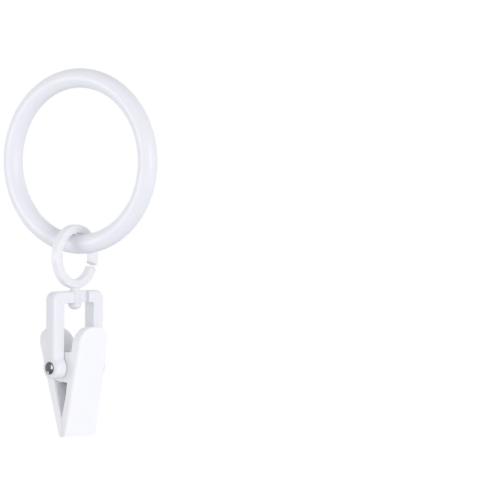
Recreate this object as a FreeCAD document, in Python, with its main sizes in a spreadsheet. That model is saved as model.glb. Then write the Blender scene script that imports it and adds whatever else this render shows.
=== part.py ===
import FreeCAD, Part
import math
import os

import Sketcher

# Curtain ring with clip.
# A split eyelet hangs on a closed plastic ring and ends in a stem and a mushroom head.
# The head holds up a bail, which turns on the stem. A rivet through the bail's two arms
# carries a pair of sprung jaws that grip the cloth.
#
# Millimetres, +Z up. The origin is the centre of the ring, and Y is the ring's axis.
# The pieces of the clip are drawn about the rivet: X along the rivet, front towards -Y.
# Their Placement then hangs them at the rivet's height, turned about Z and swung about X.

# Every size that can be set by itself, in millimetres or degrees.
SIZES = (
    # Ring
    ("ring_bore", 38.0),
    ("ring_tube", 5.0),
    # Eyelet: split loop, stem and head
    ("eyelet_outside", 16.5),
    ("eyelet_band", 2.2),
    ("eyelet_width", 2.4),
    ("eyelet_edge", 0.45),
    ("hang_gap", 0.3),
    ("split_gap", 0.8),
    ("split_angle", 20.6),
    ("stem_diameter", 2.5),
    ("neck_length", 0.7),
    ("head_diameter", 3.5),
    ("head_height", 1.75),
    ("head_round", 1.4),
    # Bail
    ("bail_width", 17.4),
    ("bail_depth", 3.6),
    ("bail_height", 19.7),
    ("bail_arm", 3.55),
    ("crossbar_height", 3.05),
    ("bail_corner", 2.2),
    ("bail_edge", 0.9),
    ("window_corner", 0.6),
    ("boss_diameter", 5.6),
    ("boss_edge", 0.5),
    ("recess_left", 1.7),
    ("recess_right", 3.45),
    ("recess_depth", 1.24),
    ("stem_clearance", 0.05),
    ("head_clearance", 0.05),
    # Rivet
    ("shank_diameter", 2.2),
    ("rivet_head", 3.1),
    ("rivet_crown", 0.55),
    ("rivet_rim", 0.3),
    ("seat_depth", 0.2),
    ("seat_clearance", 0.1),
    ("rivet_fit", 0.02),
    # Jaws
    ("jaw_spread", 6.6),
    ("jaw_wall", 2.9),
    ("tip_wall", 1.3),
    ("grip_gap", 0.06),
    ("grip_drop", 13.3),
    ("mouth_drop", 18.0),
    ("mouth_overhang", 0.3),
    ("lever_height", 10.25),
    ("lever_inset", 0.3),
    ("lever_flat", 0.65),
    ("jaw_edge", 0.6),
    ("ear_top", 3.9),
    ("ear_root_drop", 4.2),
    ("ear_heel_drop", 3.2),
    ("ear_wall", 1.2),
    ("ear_corner", 0.6),
    ("ear_side_gap", 0.15),
    ("ear_pair_gap", 0.1),
    ("ear_plate_gap", 0.25),
    ("jaw_opening", 30.0),
    ("pivot_fit", 0.05),
    # Spring
    ("spring_turns", 4.0),
    ("spring_side_gap", 0.35),
    ("coil_gap", 0.1),
    ("coil_clearance", 0.4),
    ("spring_leg", 5.0),
    ("leg_gap", 0.05),
    # How far the eyelet has slid round the ring from its lowest point and how it is turned
    # there, how the clip stands on the swivel and on the rivet, and how far a cutting
    # outline runs past a solid
    ("hang_angle", 3.57),
    ("eyelet_angle", 4.0),
    ("clip_angle", 78.3),
    ("swing_angle", 3.6),
    ("overrun", 2.0),
)

AXES = {"X": "H_Axis", "Y": "V_Axis"}
ROOT = -1
TOUCH = 1e-4
WIRE_FLATS = 8
END_TURNS = 1.5


class Formula:
    """A size as the sheet's formula for it, together with its value."""

    def __init__(self, text, value):
        self.text = text
        self.value = float(value)

    def __add__(self, other):
        other = formula(other)
        return Formula(f"({self.text} + {other.text})", self.value + other.value)

    def __sub__(self, other):
        other = formula(other)
        return Formula(f"({self.text} - {other.text})", self.value - other.value)

    def __mul__(self, other):
        other = formula(other)
        return Formula(f"({self.text} * {other.text})", self.value * other.value)

    def __truediv__(self, other):
        other = formula(other)
        return Formula(f"({self.text} / {other.text})", self.value / other.value)

    def __neg__(self):
        return Formula(f"(0 - {self.text})", -self.value)

    def __radd__(self, other):
        return formula(other) + self

    def __rmul__(self, other):
        return formula(other) * self


def formula(value):
    """A plain number as a Formula; a Formula as it is."""
    return value if isinstance(value, Formula) else Formula(str(float(value)), value)


def sine(angle):
    return Formula(f"sin({angle.text})", math.sin(math.radians(angle.value)))


def cosine(angle):
    return Formula(f"cos({angle.text})", math.cos(math.radians(angle.value)))


def tangent(angle):
    return Formula(f"tan({angle.text})", math.tan(math.radians(angle.value)))


def arc_tangent(slope):
    return Formula(f"(atan({slope.text}) / 1 deg)", math.degrees(math.atan(slope.value)))


def write_sheet(doc):
    """Put every size in the sheet, and give back its formula by name."""
    sheet = doc.addObject("Spreadsheet::Sheet", "Sizes")
    for row, (name, value) in enumerate(SIZES, start=1):
        sheet.set(f"A{row}", name.replace("_", " "))
        sheet.set(f"B{row}", str(value))
        sheet.setAlias(f"B{row}", name)
    doc.recompute()
    return {name: Formula(f"Sizes.{name}", sheet.get(name)) for name, _ in SIZES}


doc = FreeCAD.newDocument("curtain_ring_with_clip")
size = write_sheet(doc)
ZERO = formula(0)


# Sketches

def new_sketch(body, name, role, offset=None):
    """An empty sketch on one of the body's own planes, moved along its normal."""
    plane = next(item for item in body.Origin.OriginFeatures if item.Role == role)
    sketch = body.newObject("Sketcher::SketchObject", name)
    sketch.AttachmentSupport = [(plane, "")]
    sketch.MapMode = "FlatFace"
    if offset is not None:
        sketch.setExpression("AttachmentOffset.Base.z", offset.text)
    return sketch


def constrain(sketch, kind, *geometry, by):
    """Add one dimension and bind it to its formula."""
    index = sketch.addConstraint(Sketcher.Constraint(kind, *geometry, by.value))
    sketch.setExpression(f"Constraints[{index}]", by.text)


def place_point(sketch, geometry, end, x, y):
    constrain(sketch, "DistanceX", ROOT, 1, geometry, end, by=x)
    constrain(sketch, "DistanceY", ROOT, 1, geometry, end, by=y)


def circle(sketch, radius, x=ZERO, y=ZERO):
    """Draw a circle by its centre and radius."""
    centre = FreeCAD.Vector(x.value, y.value, 0)
    index = sketch.addGeometry(Part.Circle(centre, FreeCAD.Vector(0, 0, 1), radius.value))
    place_point(sketch, index, 3, x, y)
    constrain(sketch, "Radius", index, by=radius)


def outline(sketch, corners):
    """Draw a closed outline through its corners: (x, y), or (x, y, radius) where rounded."""
    points = [FreeCAD.Vector(corner[0].value, corner[1].value, 0) for corner in corners]
    count = len(points)
    arrive, leave, arcs = [], [], []
    for index, corner in enumerate(corners):
        point = points[index]
        back = (points[index - 1] - point).normalize()
        ahead = (points[(index + 1) % count] - point).normalize()
        if len(corner) == 2:
            arrive.append(point)
            leave.append(point)
            arcs.append(None)
            continue
        radius = corner[2].value
        half = back.getAngle(ahead) / 2
        arrive.append(point + back * (radius / math.tan(half)))
        leave.append(point + ahead * (radius / math.tan(half)))
        centre = point + (back + ahead).normalize() * (radius / math.sin(half))
        turns_left = back.cross(ahead).z < 0
        ends = (arrive[-1], leave[-1]) if turns_left else (leave[-1], arrive[-1])
        angles = [math.atan2(end.y - centre.y, end.x - centre.x) for end in ends]
        if angles[1] < angles[0]:
            angles[1] += 2 * math.pi
        rim = Part.Circle(centre, FreeCAD.Vector(0, 0, 1), radius)
        arcs.append((sketch.addGeometry(Part.ArcOfCircle(rim, *angles)), turns_left))
    lines = [
        sketch.addGeometry(Part.LineSegment(leave[index], arrive[(index + 1) % count]))
        for index in range(count)
    ]
    for index, corner in enumerate(corners):
        before, after = lines[index - 1], lines[index]
        if arcs[index] is None:
            sketch.addConstraint(Sketcher.Constraint("Coincident", before, 2, after, 1))
            place_point(sketch, after, 1, corner[0], corner[1])
            continue
        arc, turns_left = arcs[index]
        first, last = (1, 2) if turns_left else (2, 1)
        sketch.addConstraint(Sketcher.Constraint("Tangent", before, 2, arc, first))
        sketch.addConstraint(Sketcher.Constraint("Tangent", arc, last, after, 1))
        constrain(sketch, "Radius", arc, by=corner[2])
        mark = sketch.addGeometry(Part.Point(points[index]), True)
        place_point(sketch, mark, 1, corner[0], corner[1])
        sketch.addConstraint(Sketcher.Constraint("PointOnObject", mark, 1, before))
        sketch.addConstraint(Sketcher.Constraint("PointOnObject", mark, 1, after))


# Features

def new_body(name):
    body = doc.addObject("PartDesign::Body", name)
    body.Label = name
    return body


def pad(body, name, sketch, length, symmetric=True):
    feature = body.newObject("PartDesign::Pad", name)
    feature.Profile = sketch
    feature.SideType = "Symmetric" if symmetric else "One side"
    feature.setExpression("Length", length.text)
    doc.recompute()
    return feature


def revolve(body, name, sketch, axis):
    feature = body.newObject("PartDesign::Revolution", name)
    feature.Profile = sketch
    feature.ReferenceAxis = (sketch, [AXES[axis]])
    feature.Angle = 360
    doc.recompute()
    return feature


def cut(body, kind, name, sketch, **settings):
    """Cut with a Pocket or a Groove, and see that it takes material away."""
    before = body.Shape.Volume
    feature = body.newObject(f"PartDesign::{kind}", name)
    feature.Profile = sketch
    for key, value in settings.items():
        if isinstance(value, Formula):
            feature.setExpression(key, value.text)
        else:
            setattr(feature, key, value)
    doc.recompute()
    if body.Shape.Volume > before - TOUCH:
        raise ValueError(f"{body.Label}: {name} cuts nothing")
    return feature


def cut_through(body, name, sketch):
    return cut(body, "Pocket", name, sketch, Type="ThroughAll", Midplane=True)


def round_edges(body, name, radius, wanted):
    """Round the edges of the body's last feature that the test wanted(edge) picks."""
    tip = body.Tip
    picked = [
        f"Edge{number}"
        for number, edge in enumerate(tip.Shape.Edges, start=1)
        if wanted(edge)
    ]
    if not picked:
        raise ValueError(f"{body.Label}: {name} finds no edge")
    feature = body.newObject("PartDesign::Fillet", name)
    feature.Base = (tip, picked)
    feature.setExpression("Radius", radius.text)
    doc.recompute()
    return feature


def near(value, target):
    return abs(value - target) < TOUCH


# Places that more than one piece is made from

ring_path = (size["ring_bore"] + size["ring_tube"]) / 2
eyelet_outer = size["eyelet_outside"] / 2
eyelet_inner = eyelet_outer - size["eyelet_band"]
hang_side = ring_path * sine(size["hang_angle"])
hang_level = ring_path * cosine(size["hang_angle"])
eyelet_drop = hang_level + eyelet_inner - size["ring_tube"] / 2 - size["hang_gap"]
bail_half = size["bail_width"] / 2
window_half = bail_half - size["bail_arm"]
window_top = size["bail_height"] - size["crossbar_height"]
rivet_drop = eyelet_drop + eyelet_outer + size["neck_length"] + size["bail_height"]
shank = size["shank_diameter"] / 2
seat_face = bail_half - size["seat_depth"]
seat_radius = size["rivet_head"] / 2 + size["seat_clearance"]
grip = size["grip_gap"] / 2
inner_lean = (size["jaw_spread"] / 2 - grip) / size["grip_drop"]
outer_lean = (size["jaw_spread"] / 2 + size["jaw_wall"] - grip - size["tip_wall"]) / size["mouth_drop"]
mouth_half = window_half + size["mouth_overhang"]
lever_half = window_half - size["lever_inset"]
lever_corner = lever_half - size["lever_flat"]
side_taper = (mouth_half - lever_half) / (size["mouth_drop"] + size["lever_height"])
lean_angle = arc_tangent(inner_lean)
plate_reach = size["jaw_spread"] / 2 * cosine(lean_angle)
front_ear_face = window_half - size["ear_side_gap"]
back_ear_face = front_ear_face - size["ear_wall"] - size["ear_pair_gap"]


def plate_inside(height):
    """How far a jaw's inner face stands from the middle at a height above the rivet."""
    return size["jaw_spread"] / 2 + inner_lean * height


def plate_outside(height):
    return size["jaw_spread"] / 2 + size["jaw_wall"] + outer_lean * height


def half_width(height):
    """Half the width of a jaw at a height above the rivet."""
    return lever_half + side_taper * (size["lever_height"] - height)


def hang(piece, drop, turn, swing):
    """Hang a piece below the eyelet's place on the ring, turned about Z after its swing about X."""
    piece.setExpression(
        "Placement",
        f"placement(vector(-{hang_side.text}; 0; -{drop.text}); rotation({turn.text}; 0; -{swing.text}))",
    )
    doc.recompute()


# Pieces

def make_ring():
    """The closed ring, a round tube turned about the Y axis."""
    body = new_body("ring")
    section = new_sketch(body, "RingSection", "XY_Plane")
    circle(section, size["ring_tube"] / 2, x=ring_path)
    revolve(body, "RingTube", section, "Y")
    return body


def make_eyelet():
    """The split loop with its stem and mushroom head, moulded in one."""
    body = new_body("eyelet")
    loop = new_sketch(body, "LoopSection", "YZ_Plane")
    circle(loop, eyelet_outer)
    circle(loop, eyelet_inner)
    pad(body, "Loop", loop, size["eyelet_width"])
    round_edges(body, "LoopEdges", size["eyelet_edge"], lambda edge: edge.Closed)

    split = new_sketch(body, "SplitOutline", "YZ_Plane")
    along = (cosine(size["split_angle"]), -sine(size["split_angle"]))
    corners = []
    for reach, side in ((eyelet_inner / 2, 1), (eyelet_outer + size["overrun"], 1),
                        (eyelet_outer + size["overrun"], -1), (eyelet_inner / 2, -1)):
        half = size["split_gap"] / 2 * side
        corners.append((along[0] * reach - along[1] * half, along[1] * reach + along[0] * half))
    outline(split, corners)
    cut_through(body, "Split", split)

    turned = new_sketch(body, "StemSection", "XZ_Plane")
    stem = size["stem_diameter"] / 2
    head_top = -(eyelet_outer + size["neck_length"] + size["crossbar_height"] + size["head_clearance"])
    head_base = head_top - size["head_height"]
    head = size["head_diameter"] / 2
    outline(turned, [
        (ZERO, -(eyelet_inner + size["eyelet_band"] / 2)),
        (stem, -(eyelet_inner + size["eyelet_band"] / 2)),
        (stem, head_top),
        (head, head_top),
        (head, head_base, size["head_round"]),
        (ZERO, head_base),
    ])
    revolve(body, "StemAndHead", turned, "Y")
    hang(body, eyelet_drop, -size["eyelet_angle"], ZERO)
    return body


def make_bail():
    """The bail: crossbar, two arms and the bosses that hold the rivet."""
    body = new_body("bail")
    block = new_sketch(body, "BlockOutline", "XZ_Plane")
    outline(block, [
        (-bail_half, ZERO),
        (bail_half, ZERO),
        (bail_half, size["bail_height"], size["bail_corner"]),
        (-bail_half, size["bail_height"], size["bail_corner"]),
    ])
    pad(body, "Block", block, size["bail_depth"])

    def on_rim(edge):
        box = edge.BoundBox
        flat = box.YLength < TOUCH and near(abs(box.YMin), size["bail_depth"].value / 2)
        return flat and box.ZMax > TOUCH

    round_edges(body, "BlockEdges", size["bail_edge"], on_rim)

    barrel = new_sketch(body, "BossSection", "XZ_Plane")
    boss = size["boss_diameter"] / 2
    outline(barrel, [
        (-bail_half, ZERO),
        (bail_half, ZERO),
        (bail_half, boss, size["boss_edge"]),
        (-bail_half, boss, size["boss_edge"]),
    ])
    revolve(body, "Boss", barrel, "X")

    window = new_sketch(body, "WindowOutline", "XZ_Plane")
    below = -(boss + size["overrun"])
    outline(window, [
        (-window_half, below),
        (window_half, below),
        (window_half, window_top, size["window_corner"]),
        (-window_half, window_top, size["window_corner"]),
    ])
    cut_through(body, "Window", window)

    recess = new_sketch(body, "RecessOutline", "XZ_Plane", offset=size["bail_depth"] / 2)
    past = size["bail_height"] + size["overrun"]
    outline(recess, [
        (-size["recess_left"], window_top - size["overrun"]),
        (size["recess_right"], window_top - size["overrun"]),
        (size["recess_right"], past),
        (-size["recess_left"], past),
    ])
    cut(body, "Pocket", "Recess", recess, Length=size["recess_depth"])

    socket = new_sketch(body, "StemHole", "XY_Plane")
    circle(socket, size["stem_diameter"] / 2 + size["stem_clearance"])
    cut_through(body, "StemSocket", socket)

    bore = new_sketch(body, "RivetHole", "XZ_Plane")
    hole = shank + size["rivet_fit"]
    outside = bail_half + size["overrun"]
    outline(bore, [
        (-outside, ZERO), (-outside, seat_radius), (-seat_face, seat_radius), (-seat_face, hole),
        (seat_face, hole), (seat_face, seat_radius), (outside, seat_radius), (outside, ZERO),
    ])
    cut(body, "Groove", "RivetBore", bore, ReferenceAxis=(bore, [AXES["X"]]), Angle=360)
    hang(body, rivet_drop, size["clip_angle"], ZERO)
    return body


def make_rivet():
    """The rivet: a plain shank with a low crowned head at each end."""
    body = new_body("rivet")
    section = new_sketch(body, "RivetSection", "XZ_Plane")
    head = size["rivet_head"] / 2
    rim = seat_face + size["rivet_rim"]
    crown = seat_face + size["rivet_crown"]
    flat = head / 2
    outline(section, [
        (-crown, ZERO), (-crown, flat, head / 2), (-rim, head, size["rivet_rim"]), (-seat_face, head),
        (-seat_face, shank), (seat_face, shank),
        (seat_face, head), (rim, head, size["rivet_rim"]), (crown, flat, head / 2), (crown, ZERO),
    ])
    revolve(body, "Rivet", section, "X")
    hang(body, rivet_drop, size["clip_angle"], ZERO)
    return body


def make_jaw(name, side, ear_face):
    """One jaw: a tapering plate and the two ears that carry it on the rivet.

    side is -1 for the front jaw and 1 for the back one, and ear_face is how far the
    outer faces of its ears stand from the middle.
    """
    body = new_body(name)
    overrun = size["overrun"]
    crest = size["lever_height"] + overrun
    profile = new_sketch(body, "PlateSection", "YZ_Plane")
    outline(profile, [
        (side * grip, -size["mouth_drop"]),
        (side * grip, -size["grip_drop"]),
        (side * plate_inside(crest), crest),
        (side * plate_outside(crest), crest),
        (side * (grip + size["tip_wall"]), -size["mouth_drop"]),
    ])
    pad(body, "Plate", profile, mouth_half * 2 + overrun)

    face = new_sketch(body, "FaceOutline", "XZ_Plane")
    foot = -(size["mouth_drop"] + overrun)
    frame = mouth_half + 2 * overrun
    outline(face, [
        (-frame, foot - overrun), (frame, foot - overrun),
        (frame, crest + overrun), (-frame, crest + overrun),
    ])
    outline(face, [
        (-half_width(foot), foot),
        (half_width(foot), foot),
        (half_width(size["lever_height"]), size["lever_height"], lever_corner),
        (-half_width(size["lever_height"]), size["lever_height"], lever_corner),
    ])
    cut_through(body, "FaceTrim", face)

    def on_outer_rim(edge):
        ends = [vertex.Point for vertex in edge.Vertexes]
        outer = all(near(abs(end.y), plate_outside(formula(end.z)).value) for end in ends)
        at_mouth = all(near(end.z, -size["mouth_drop"].value) for end in ends)
        return outer and not at_mouth

    round_edges(body, "PlateEdges", size["jaw_edge"], on_outer_rim)

    # The ear's heel clears the other plate when shut, its back when open, and the
    # stretch between them turns about the rivet.
    ears = new_sketch(body, "EarOutline", "YZ_Plane", offset=ear_face - size["ear_wall"])
    reach = plate_reach - size["ear_plate_gap"]
    half_turn = size["jaw_opening"] / 2
    corner_reach = reach / cosine(half_turn)
    corner_angle = lean_angle - half_turn
    open_lean = tangent(size["jaw_opening"] - lean_angle)
    open_reach = reach / cosine(size["jaw_opening"] - lean_angle)
    heel_reach = reach / cosine(lean_angle) - inner_lean * size["ear_heel_drop"]
    root = plate_inside(ZERO) + size["jaw_wall"] / 2
    root_top = root + inner_lean * size["ear_top"]
    root_foot = root - inner_lean * size["ear_root_drop"]
    outline(ears, [
        (side * root_top, size["ear_top"]),
        (-side * (open_reach - open_lean * size["ear_top"]), size["ear_top"], size["ear_corner"]),
        (-side * (corner_reach * cosine(corner_angle)), -corner_reach * sine(corner_angle), reach),
        (-side * heel_reach, -size["ear_heel_drop"]),
        (side * root_foot, -size["ear_root_drop"]),
    ])
    near_ear = pad(body, "Ear", ears, size["ear_wall"], symmetric=False)
    pair = body.newObject("PartDesign::Mirrored", "EarPair")
    pair.Originals = [near_ear]
    plane = next(item for item in body.Origin.OriginFeatures if item.Role == "YZ_Plane")
    pair.MirrorPlane = (plane, [""])
    body.Tip = pair
    doc.recompute()

    hole = new_sketch(body, "PivotHole", "YZ_Plane")
    circle(hole, shank + size["pivot_fit"])
    cut_through(body, "Pivot", hole)
    hang(body, rivet_drop, size["clip_angle"], size["swing_angle"])
    return body


def make_spring():
    """The torsion spring: a wire coil round the rivet with a leg behind each lever."""
    # The winding fills the room between the inner pair of ears. The part turn that the
    # legs add is under half a turn, and the wire itself takes one pitch less its gap.
    room = 2 * (back_ear_face - size["ear_wall"] - size["spring_side_gap"]).value
    pitch = (room + size["coil_gap"].value) / (size["spring_turns"].value + END_TURNS)
    wire = (pitch - size["coil_gap"].value) / 2
    coil = shank.value + size["coil_clearance"].value + wire
    leg = size["spring_leg"].value
    lean = math.radians(lean_angle.value)
    # Each leg leaves the coil straight and meets its lever's inner face with its end.
    seat = plate_reach.value - wire - size["leg_gap"].value
    splay = lean + math.asin((seat - coil) / leg)
    turns = size["spring_turns"].value + (math.pi - 2 * splay) / (2 * math.pi)
    length = turns * pitch

    helix = Part.makeHelix(pitch, length, coil)
    helix.translate(FreeCAD.Vector(0, 0, -length / 2))
    start, end = helix.Edges[0].Vertexes[0].Point, helix.Edges[-1].Vertexes[-1].Point
    slope = FreeCAD.Vector(0, 2 * math.pi * coil, pitch).normalize()
    into_coil = FreeCAD.Vector(slope)
    swept = FreeCAD.Rotation(FreeCAD.Vector(0, 0, 1), math.degrees(turns * 2 * math.pi))
    out_of_coil = swept.multVec(into_coil)
    path = Part.Wire(
        [Part.makeLine(start - into_coil * leg, start)]
        + helix.Edges
        + [Part.makeLine(end, end + out_of_coil * leg)]
    )
    # The wire is swept as an octagon, whose flats keep the long winding light.
    foot = start - into_coil * leg
    across = into_coil.cross(FreeCAD.Vector(1, 0, 0)).normalize()
    corners = []
    for corner in range(WIRE_FLATS):
        around = FreeCAD.Rotation(into_coil, 360 * (corner + 0.5) / WIRE_FLATS)
        corners.append(foot + around.multVec(across) * wire)
    shape = path.makePipeShell([Part.makePolygon(corners + corners[:1])], True, False)
    # The coil is wound about Z. It is turned until both legs point up and out, laid along
    # the rivet, and mirrored so that its first leg lies behind the back lever.
    upright = FreeCAD.Rotation(FreeCAD.Vector(0, 0, 1), 180 + math.degrees(splay))
    along_rivet = FreeCAD.Rotation(FreeCAD.Vector(1, 1, 1), 120)
    turn = FreeCAD.Placement(FreeCAD.Vector(), along_rivet * upright).toMatrix()
    swap_sides = FreeCAD.Matrix()
    swap_sides.scale(1, -1, 1)
    shape = shape.transformed(swap_sides * turn, copy=True)
    feature = doc.addObject("Part::Feature", "spring")
    feature.Label = "spring"
    feature.Shape = shape
    hang(feature, rivet_drop, size["clip_angle"], size["swing_angle"])
    return feature


def export(pieces):
    """Check the document and every piece, then write one file for each piece."""
    doc.recompute()
    for item in doc.Objects:
        if "Invalid" in item.State or "Error" in item.State:
            raise RuntimeError(f"{item.Label} failed: {item.State}")
    os.makedirs("parts", exist_ok=True)
    for piece in pieces:
        shape = piece.Shape
        if shape.isNull() or not shape.isValid() or len(shape.Solids) != 1:
            raise RuntimeError(f"{piece.Label} is not one valid solid")
        shape.exportStep(os.path.join("parts", f"{piece.Label}.step"))
        print(f"{piece.Label:10s} volume {shape.Volume:8.2f} mm3, z {shape.BoundBox.ZMin:7.2f}"
              f" to {shape.BoundBox.ZMax:7.2f}")


export([
    make_ring(),
    make_eyelet(),
    make_bail(),
    make_rivet(),
    make_jaw("back_jaw", 1, back_ear_face),
    make_jaw("front_jaw", -1, front_ear_face),
    make_spring(),
])
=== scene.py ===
"""Looks of a curtain ring with a clip: its moulded and metal pieces, their finishes and the studio.

Every piece is modelled in millimetres about its own axes and then brought to its place in the
shared frame, in metres. Local axes of the clip: X along the rivet, front towards -Y, Z up.
"""

import logging
import math
from abc import ABC, abstractmethod
from collections.abc import Callable, Iterator
from contextlib import contextmanager
from dataclasses import dataclass, field
from enum import Enum

import bmesh
import bpy
from mathutils import Matrix, Vector

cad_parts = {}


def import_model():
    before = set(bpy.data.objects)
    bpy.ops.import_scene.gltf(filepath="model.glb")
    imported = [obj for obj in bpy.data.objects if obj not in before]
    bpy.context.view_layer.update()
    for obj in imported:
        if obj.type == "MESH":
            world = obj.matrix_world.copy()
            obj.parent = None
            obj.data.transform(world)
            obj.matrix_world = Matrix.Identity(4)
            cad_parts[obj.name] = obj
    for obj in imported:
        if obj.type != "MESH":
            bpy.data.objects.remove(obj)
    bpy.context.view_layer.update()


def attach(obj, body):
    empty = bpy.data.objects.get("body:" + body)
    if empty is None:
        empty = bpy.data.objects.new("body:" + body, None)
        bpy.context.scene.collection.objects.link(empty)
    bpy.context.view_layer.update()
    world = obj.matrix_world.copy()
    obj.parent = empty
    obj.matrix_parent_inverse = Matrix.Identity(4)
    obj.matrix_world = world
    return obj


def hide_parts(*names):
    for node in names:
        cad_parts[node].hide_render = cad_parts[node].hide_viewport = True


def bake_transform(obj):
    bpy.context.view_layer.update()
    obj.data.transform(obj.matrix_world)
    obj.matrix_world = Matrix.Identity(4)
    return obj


MM = 0.001
# Two points nearer than NEAR count as one place, and two nearer than DOUBLED are merged.
NEAR, DOUBLED = 1e-3, 1e-4
# How far a form stands out past the one that it trims, cuts or is trimmed by, in millimetres.
PAST = 2.0
# The lengths of the drills, which come out past what they drill, in millimetres.
STEM_DRILL, BORE_DRILL, PIVOT_DRILL = 10.0, 30.0, 20.0
# A rounded corner's facets: their length in millimetres, their turn, and their least and most.
FACET_LENGTH, FACET_TURN = 0.14, 0.12
FACETS_LEAST, FACETS_MOST = 4, 40
# A point that is farther from a rounded corner's centre than this share of its radius is on it.
CHORD_SHARE = 0.97
# Faces round a drilled hole, and round a turned stem or rivet.
DRILL_SIDES, TURNED_SIDES = 64, 72
RIGHT_ANGLE = math.pi / 2
SHARP_ANGLE = math.radians(45)
SMOOTH_ANGLE = math.radians(32)
# Nearly all values of a noise pattern lie between these two.
NOISE_LOW, NOISE_HIGH = 0.3, 0.7
# How far red, green and blue light travel in white plastic, against each other.
DEPTH_OF_COLOURS = (1.0, 0.95, 0.9)
# A Mix node's sockets for two colours and for their mixture.
MIX_FIRST, MIX_SECOND, MIX_RESULT = 6, 7, 2
WHITE = (1.0, 1.0, 1.0, 1.0)
FRAME_PIXELS = 500
SENSOR_MM = 36.0

ORIGIN = Vector((0, 0, 0))
ALONG, DEPTH, UP = Vector((1, 0, 0)), Vector((0, 1, 0)), Vector((0, 0, 1))

log = logging.getLogger("curtain_ring")

# A point of an outline, with a radius as its third number where the corner is rounded.
Corner = tuple[float, ...]


class Plane(Enum):
    """The plane that an outline is drawn in."""

    SIDE = "side"
    FRONT = "front"

    @property
    def outward(self) -> Vector:
        """Gives the axis that the outline is drawn out along."""
        return ALONG if self is Plane.SIDE else DEPTH

    def place(self, across: float, up: float) -> Vector:
        """Gives the point of an outline's corner."""
        return Vector((0, across, up)) if self is Plane.SIDE else Vector((across, 0, up))


class Element(Enum):
    """What is selected in a mesh that is open for editing."""

    CORNERS = "verts"
    EDGES = "edges"


class Cut(Enum):
    """How one solid works on another."""

    REMOVE = "DIFFERENCE"
    JOIN = "UNION"
    KEEP_SHARED = "INTERSECT"


class Reach(Enum):
    """Which pieces a lamp lights."""

    ALL = "all"
    METAL = "metal"
    PLASTIC = "plastic"
    LOOPS = "loops"


class Side(Enum):
    """Which of the two jaws a piece is, and the sign of its Y."""

    FRONT = -1
    BACK = 1


# Blender helpers


def linear(code: str) -> tuple[float, float, float, float]:
    """Turns an sRGB hex code into a linear colour.

    Args:
        code: six hex digits after a hash sign.

    Returns:
        Red, green, blue and a full alpha.
    """
    parts = [int(code[i : i + 2], 16) / 255 for i in (1, 3, 5)]
    red, green, blue = (c / 12.92 if c <= 0.04045 else ((c + 0.055) / 1.055) ** 2.4 for c in parts)
    return red, green, blue, 1.0


def deselect_all() -> None:
    """Leaves edit mode and selects nothing."""
    active = bpy.context.view_layer.objects.active
    if active is not None and active.mode != "OBJECT":
        bpy.ops.object.mode_set(mode="OBJECT")
    bpy.ops.object.select_all(action="DESELECT")


def activate(obj: bpy.types.Object) -> None:
    """Selects one object alone and makes it the active one.

    Args:
        obj: the object.
    """
    deselect_all()
    obj.select_set(True)
    bpy.context.view_layer.objects.active = obj


def apply_place(obj: bpy.types.Object) -> None:
    """Applies an object's place, turn and scale to its mesh."""
    activate(obj)
    bpy.ops.object.transform_apply(location=True, rotation=True, scale=True)


@contextmanager
def editing(obj: bpy.types.Object, element: Element = Element.CORNERS) -> Iterator[None]:
    """Opens an object for editing with all of it selected, and closes it again.

    Args:
        obj: the object to edit.
        element: whether its corners or its edges are selected.

    Yields:
        Nothing, while the object is open.
    """
    activate(obj)
    corners = element is Element.CORNERS
    bpy.context.tool_settings.mesh_select_mode = (corners, not corners, False)
    bpy.ops.object.mode_set(mode="EDIT")
    bpy.ops.mesh.select_all(action="SELECT")
    yield
    bpy.ops.object.mode_set(mode="OBJECT")


def select(obj: bpy.types.Object, element: Element, wanted: Callable[..., bool]) -> int:
    """Selects the wanted corners or edges of an object that is open for editing.

    Args:
        obj: the object.
        element: whether corners or edges are selected.
        wanted: says of one corner or edge whether it is selected.

    Returns:
        How many were selected.
    """
    bpy.ops.mesh.select_all(action="DESELECT")
    mesh = bmesh.from_edit_mesh(obj.data)
    found = [item for item in getattr(mesh, element.value) if wanted(item)]
    for item in found:
        item.select_set(True)
    mesh.select_flush_mode()
    bmesh.update_edit_mesh(obj.data)
    return len(found)


def both(wanted: Callable[[Vector], bool]) -> Callable[[Vector, Vector], bool]:
    """Makes of a test for one point the test that both ends of an edge pass it."""
    return lambda start, end: wanted(start) and wanted(end)


def tidy_normals(obj: bpy.types.Object) -> bpy.types.Object:
    """Merges an object's doubled points and turns its faces outwards.

    Args:
        obj: the object.

    Returns:
        The same object.
    """
    with editing(obj):
        bpy.ops.mesh.remove_doubles(threshold=DOUBLED)
        bpy.ops.mesh.normals_make_consistent(inside=False)
    return obj


def rectangle(
    left: float, right: float, low: float, high: float, radius: float = 0.0
) -> list[Corner]:
    """Gives the four corners of a rectangle, which share one radius."""
    return [(left, low, radius), (right, low, radius), (right, high, radius), (left, high, radius)]


def arc(
    centre: Corner, radius: float, start: float, end: float, steps: int, rise: float | None = None
) -> list[Corner]:
    """Gives points along an arc, with both its ends.

    Args:
        centre: the arc's centre.
        radius: its radius.
        start: the angle of its first point.
        end: the angle of its last point.
        steps: how many chords it has.
        rise: its radius upwards, where it is part of an ellipse.

    Returns:
        The points.
    """
    rise = radius if rise is None else rise
    angles = [start + (end - start) * step / steps for step in range(steps + 1)]
    return [(centre[0] + radius * math.cos(a), centre[1] + rise * math.sin(a)) for a in angles]


def mirrored(points: list[Corner]) -> list[Corner]:
    """Gives the points of an outline's other side, in the order that continues it."""
    return [(-across, up) for across, up in reversed(points)]


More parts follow.
